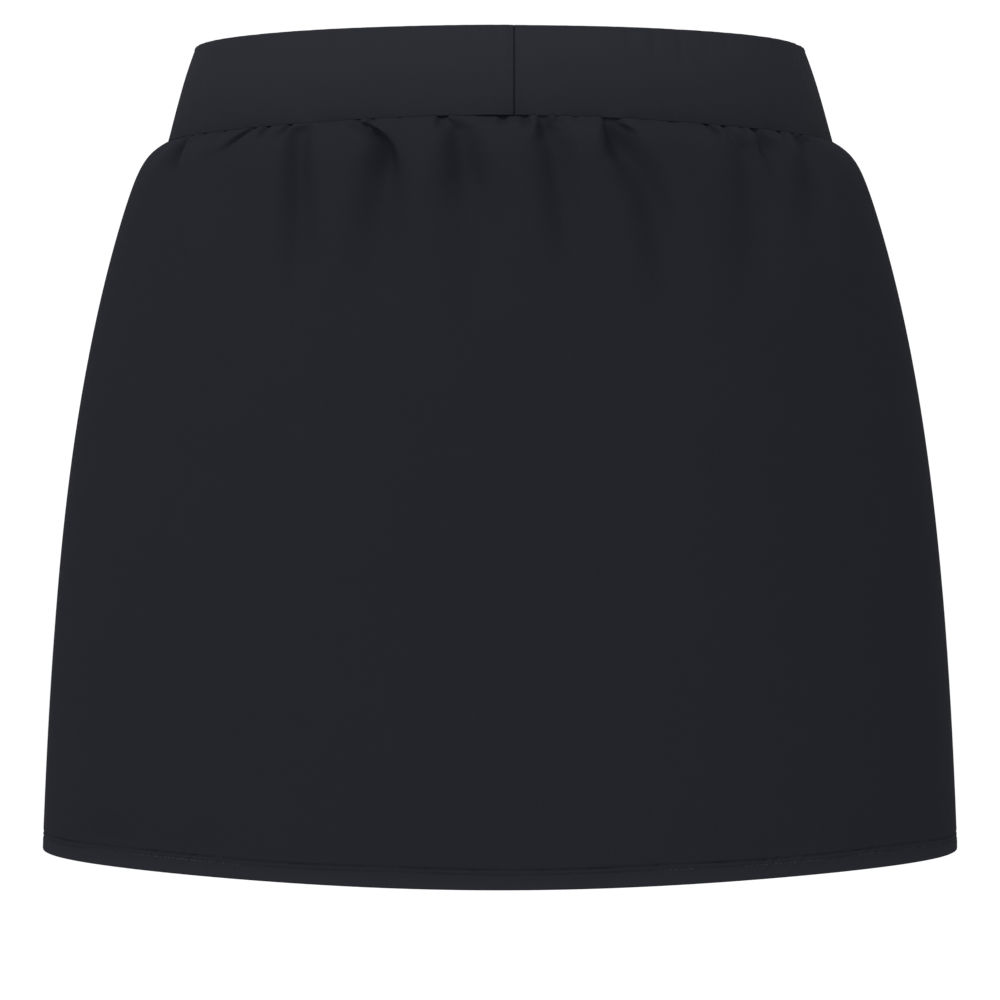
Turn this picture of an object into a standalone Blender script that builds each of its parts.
"""Tennis skirt: a wide elastic waistband and a gathered skirt of two panels, filled out and hollow.

Metres, +Z up. The origin is the middle of the waistband. The back of the skirt faces -Y, and +X is on the
right for someone who looks at its back. Every piece is a wall of cloth: an open surface through worked-out
sections, with Solidify turning it into a wall whose outer face is that surface.
"""
from collections import namedtuple

import bpy
import bmesh
import numpy as np

# ---- Driving dimensions ------------------------------------------------------------------------------------
BAND_WIDTH = 0.0400          # the waistband, top edge to foot at the side seams
SKIRT_FALL = 0.3055          # from the waistband's foot down to the hem at the side seams
HEM_DEPTH = 0.0080           # how far up the hem is turned, to its stitching
BAND_THICKNESS = 0.0030      # two layers of cloth over the elastic
CLOTH_THICKNESS = 0.0012     # the skirt's knit
HEM_THICKNESS = 0.0022       # the turned-up hem
SEAM_GAP = 0.0003            # left between pieces that are sewn together
SEAM_LIP = 0.0008            # flat strip of cloth on each side of a side seam
HEM_STEP = 0.0010            # fall over which the wall thickens at the hem's stitching
BAND_SEAM_X = 0.0058         # the waistband's joining seam, to the right of the centre back
SEAM_RISE = {"back": 0.0024, "front": 0.0008}    # how much higher the band's foot lies at the centre
HEM_DIP = {"back": 0.0035, "front": 0.0020}      # how much lower the hem hangs at the centre
SEAM_POINT = 1.15            # how pointed a section is at its sides: 1 is an ellipse, 2 comes to a corner
HEM_POINT = 1.10             # the same at the hem

# ---- The waistband's sections, one row for each height above its middle ------------------------------------
BandSection = namedtuple("BandSection", "height half_width back_depth front_depth point")
BAND_SECTIONS = [BandSection(*row) for row in (
    (0.0200, 0.1313, 0.0940, 0.0920, 1.00),
    (0.0190, 0.1316, 0.0942, 0.0922, 1.00),
    (0.0120, 0.1345, 0.0960, 0.0933, 1.03),
    (-0.0040, 0.1396, 0.1000, 0.0957, 1.08),
    (-0.0192, 0.1442, 0.1040, 0.0980, SEAM_POINT),
    (-0.0200, 0.1442, 0.1040, 0.0980, SEAM_POINT),
)]

# ---- How the skirt grows below the seam, one row for each direction from the middle ------------------------
# The gathers puff out over the first millimetres, and the cut of the panels flares the rest.
Growth = namedtuple("Growth", "at_seam puff puff_fall flare flare_fall")
GROWTH = {
    "side": Growth(0.1442, 0.0084, 0.0050, 0.0508, 0.130),
    "back": Growth(0.1040, 0.0065, 0.0050, 0.0036, 0.090),
    "front": Growth(0.0980, 0.0060, 0.0050, 0.0042, 0.080),
}

# ---- Heights of the skirt's rings, as falls below the seam -------------------------------------------------
RING_FALLS = (0.0, 0.0005, 0.0025, 0.0055, 0.0095, 0.0150, 0.024, 0.038, 0.060, 0.090, 0.135, 0.190, 0.245)

# ---- Gathers, one row for each, on the seam from the centre to the right (+) or left (-) -------------------
# place: where the fold leaves the seam, along it. width: from the fold's middle to where it is half as deep.
# depth: how far it goes in. length: how far down it fades out. lean: how far it drifts sideways on the way.
Gather = namedtuple("Gather", "place width depth length lean")
BACK_GATHERS = [Gather(*row) for row in (
    (-0.1475, 0.0040, 0.0026, 0.024, -0.006),
    (-0.1087, 0.0038, 0.0024, 0.016, -0.010),
    (-0.0990, 0.0034, 0.0014, 0.010, -0.003),
    (-0.0912, 0.0055, 0.0024, 0.050, 0.011),
    (-0.0553, 0.0050, 0.0036, 0.026, 0.016),
    (-0.0465, 0.0100, 0.0020, 0.090, -0.003),
    (-0.0233, 0.0060, 0.0026, 0.070, 0.009),
    (0.0019, 0.0034, 0.0018, 0.011, 0.000),
    (0.0104, 0.0034, 0.0020, 0.012, 0.001),
    (0.0184, 0.0045, 0.0030, 0.064, 0.003),
    (0.0320, 0.0036, 0.0011, 0.012, -0.001),
    (0.0437, 0.0052, 0.0036, 0.085, 0.013),
    (0.0920, 0.0032, 0.0018, 0.012, -0.003),
    (0.1005, 0.0090, 0.0020, 0.062, -0.007),
    (0.1126, 0.0046, 0.0032, 0.040, -0.003),
    (0.1291, 0.0036, 0.0014, 0.014, -0.004),
    (0.1446, 0.0070, 0.0014, 0.026, -0.005),
)]
FRONT_GATHERS = [Gather(*row) for row in (
    (-0.1520, 0.0050, 0.0022, 0.028, 0.006),
    (-0.1305, 0.0040, 0.0016, 0.014, 0.004),
    (-0.1080, 0.0052, 0.0030, 0.046, 0.003),
    (-0.0900, 0.0085, 0.0018, 0.066, -0.004),
    (-0.0725, 0.0034, 0.0015, 0.012, 0.002),
    (-0.0480, 0.0048, 0.0032, 0.058, -0.009),
    (-0.0295, 0.0036, 0.0020, 0.016, 0.002),
    (-0.0120, 0.0058, 0.0026, 0.072, 0.005),
    (0.0095, 0.0032, 0.0017, 0.011, 0.001),
    (0.0250, 0.0050, 0.0031, 0.050, -0.005),
    (0.0480, 0.0095, 0.0020, 0.084, 0.006),
    (0.0610, 0.0044, 0.0030, 0.030, 0.010),
    (0.0835, 0.0034, 0.0016, 0.013, -0.002),
    (0.0990, 0.0054, 0.0026, 0.048, -0.008),
    (0.1210, 0.0042, 0.0023, 0.020, -0.005),
    (0.1475, 0.0056, 0.0022, 0.026, 0.004),
)]
GATHER_AT_SEAM = 0.45        # share of a gather's depth that the stitching leaves at the seam itself
GATHER_OPENING = 0.0055      # fall over which a gather reaches its full depth
GATHER_SPREAD = 1.6          # how many times wider a gather is where it fades out

BAND_STEPS = 72              # faces round the waistband
PANEL_STEPS = 84             # faces across a panel, without its two seam lips
CURVE_STEPS = 1500           # steps in which a section's length is measured

CLOTH_COLOUR = "24252B"      # sRGB
CLOTH_ROUGHNESS = 0.85


def growth(direction, fall):
    """Half width or depth of the skirt at a fall below the seam."""
    row = GROWTH[direction]
    puffed = row.puff * (1 - np.exp(-fall / row.puff_fall))
    flared = row.flare * (1 - np.exp(-fall / row.flare_fall))
    return row.at_seam + puffed + flared


def quarter_section(half_width, depth, point):
    """A quarter of a section, centre to side: angle, how far across, how far out, and length so far."""
    angle = np.linspace(0.0, np.pi / 2, CURVE_STEPS)
    across = half_width * np.sin(angle)
    out = depth * np.maximum(np.cos(angle), 0.0) ** point
    run = np.concatenate(([0.0], np.cumsum(np.hypot(np.diff(across), np.diff(out)))))
    return angle, across, out, run


def facing(angle, half_width, depth, point):
    """Level direction in which a section faces, across and out, at its angles from the centre."""
    level = np.maximum(np.cos(angle), 1e-6)
    across = depth * point * level ** (point - 1) * np.sin(angle)
    out = half_width * level
    size = np.hypot(across, out)
    return across / size, out / size


def middle_share(across, half_width):
    """1 at the centre of the back or front, falling to 0 at the side seams."""
    return np.cos(np.pi * across / (2 * half_width)) ** 2


def gather_depth(gathers, places, fall):
    """How far all the gathers together push the cloth in, at places along the seam."""
    depth_in = np.zeros_like(places)
    opening = GATHER_AT_SEAM + (1 - GATHER_AT_SEAM) * (1 - np.exp(-fall / GATHER_OPENING))
    for gather in gathers:
        down = min(fall / gather.length, 1.0)
        fade = (1 - down ** 2) ** 2
        middle = gather.place + gather.lean * down
        spread = gather.width * (1 + (GATHER_SPREAD - 1) * down)
        depth_in += gather.depth * opening * fade * 0.5 ** (((places - middle) / spread) ** 2)
    return depth_in


def cloth_material(name):
    """Matt black knit."""
    material = bpy.data.materials.new(name)
    material.use_nodes = True
    shader = material.node_tree.nodes["Principled BSDF"]
    channels = [int(CLOTH_COLOUR[i:i + 2], 16) / 255 for i in (0, 2, 4)]
    linear = [c / 12.92 if c <= 0.04045 else ((c + 0.055) / 1.055) ** 2.4 for c in channels]
    shader.inputs["Base Color"].default_value = (*linear, 1.0)
    shader.inputs["Roughness"].default_value = CLOTH_ROUGHNESS
    shader.inputs["Metallic"].default_value = 0.0
    material.diffuse_color = (*linear, 1.0)
    return material


def cloth_wall(name, rings, thicknesses, collection):
    """A piece of cloth through its rings, top to bottom, with a wall thickness for each ring.

    It starts as a flat grid, as cloth is cut. Each point moves to its place on a ring, and the wall grows
    inwards from there.
    """
    last_row = len(rings) - 1
    last_column = len(rings[0]) - 1
    bm = bmesh.new()
    bmesh.ops.create_grid(bm, x_segments=last_column, y_segments=last_row, size=0.5)
    rows = [round((0.5 - vert.co.y) * last_row) for vert in bm.verts]
    for vert, row in zip(bm.verts, rows):
        vert.co = rings[row][round((vert.co.x + 0.5) * last_column)]
    mesh = bpy.data.meshes.new(name)
    bm.to_mesh(mesh)
    bm.free()
    mesh.shade_smooth()
    mesh.materials.append(cloth_material(name + "_knit"))
    piece = bpy.data.objects.new(name, mesh)
    collection.objects.link(piece)

    group = piece.vertex_groups.new(name="thickness")
    for index, row in enumerate(rows):
        group.add([index], thicknesses[row] / max(thicknesses), "REPLACE")
    wall = piece.modifiers.new("wall", "SOLIDIFY")
    wall.thickness = max(thicknesses)
    wall.offset = -1.0
    wall.use_even_offset = True
    wall.vertex_group = group.name
    return piece


def make_waistband(collection):
    """One strip round the waist, open by the seam gap at its joining seam near the centre back."""
    rings = []
    for section in BAND_SECTIONS:
        half_width = section.half_width
        _, back_across, back_out, back_run = quarter_section(half_width, section.back_depth, section.point)
        _, front_across, front_out, _ = quarter_section(half_width, section.front_depth, section.point)
        # From the centre back to the right side, the front, the left side and back again
        across = np.concatenate((back_across, front_across[-2::-1], -front_across[1:], -back_across[-2::-1]))
        forward = np.concatenate((-back_out, front_out[-2::-1], front_out[1:], -back_out[-2::-1]))
        run = np.concatenate(([0.0], np.cumsum(np.hypot(np.diff(across), np.diff(forward)))))
        start = np.interp(BAND_SEAM_X, back_across, back_run)
        stops = (start + SEAM_GAP / 2 + np.linspace(0.0, run[-1] - SEAM_GAP, BAND_STEPS + 1)) % run[-1]
        x = np.interp(stops, run, across)
        y = np.interp(stops, run, forward)
        share_down = (BAND_WIDTH / 2 - section.height) / BAND_WIDTH
        rise = np.where(y < 0, SEAM_RISE["back"], SEAM_RISE["front"]) * middle_share(x, half_width)
        rings.append(np.stack((x, y, section.height + rise * share_down), axis=1))

    return cloth_wall("waistband", rings, [BAND_THICKNESS] * len(rings), collection)


def make_panel(side, gathers, collection):
    """The back or front half of the skirt, from side seam to side seam."""
    hem_top = SKIRT_FALL - HEM_DEPTH
    falls = RING_FALLS + (hem_top, hem_top + HEM_STEP, SKIRT_FALL)
    shares = np.linspace(-1.0, 1.0, PANEL_STEPS + 1)
    seam_length = quarter_section(growth("side", 0.0), growth(side, 0.0), SEAM_POINT)[3][-1]
    rings = []
    for index, fall in enumerate(falls):
        # The cloth leaves the seam straight down for the first ring, then puffs out
        grown = 0.0 if index < 2 else fall
        half_width = growth("side", grown)
        depth = growth(side, grown) - SEAM_LIP
        down = fall / SKIRT_FALL
        point = SEAM_POINT + (HEM_POINT - SEAM_POINT) * down
        angle, _, _, run = quarter_section(half_width, depth, point)
        angle = np.sign(shares) * np.interp(np.abs(shares) * run[-1], run, angle)
        face_x, face_y = facing(angle, half_width, depth, point)
        inward = gather_depth(gathers, shares * seam_length, grown)
        x = half_width * np.sin(angle)
        lift = (SEAM_RISE[side] * (1 - down) - HEM_DIP[side] * down) * middle_share(x, half_width)
        z = lift - BAND_WIDTH / 2 - SEAM_GAP - fall * (1 - SEAM_GAP / SKIRT_FALL)
        x = x - inward * face_x
        y = depth * np.maximum(np.cos(angle), 0.0) ** point - inward * face_y + SEAM_LIP
        # A flat lip along each side seam keeps the two walls the seam gap apart
        x = np.pad(x, 1, mode="edge")
        y = np.pad(y, 1, constant_values=SEAM_GAP / 2)
        z = np.pad(z, 1, mode="edge")
        if side == "back":
            rings.append(np.stack((x, -y, z), axis=1))
        else:
            rings.append(np.stack((x, y, z), axis=1)[::-1])

    thicknesses = [CLOTH_THICKNESS if fall <= hem_top else HEM_THICKNESS for fall in falls]
    return cloth_wall(side + "_panel", rings, thicknesses, collection)


for old in list(bpy.data.objects):
    bpy.data.objects.remove(old, do_unlink=True)

skirt = bpy.data.collections.new("tennis_skirt")
bpy.context.scene.collection.children.link(skirt)
make_waistband(skirt)
make_panel("back", BACK_GATHERS, skirt)
make_panel("front", FRONT_GATHERS, skirt)
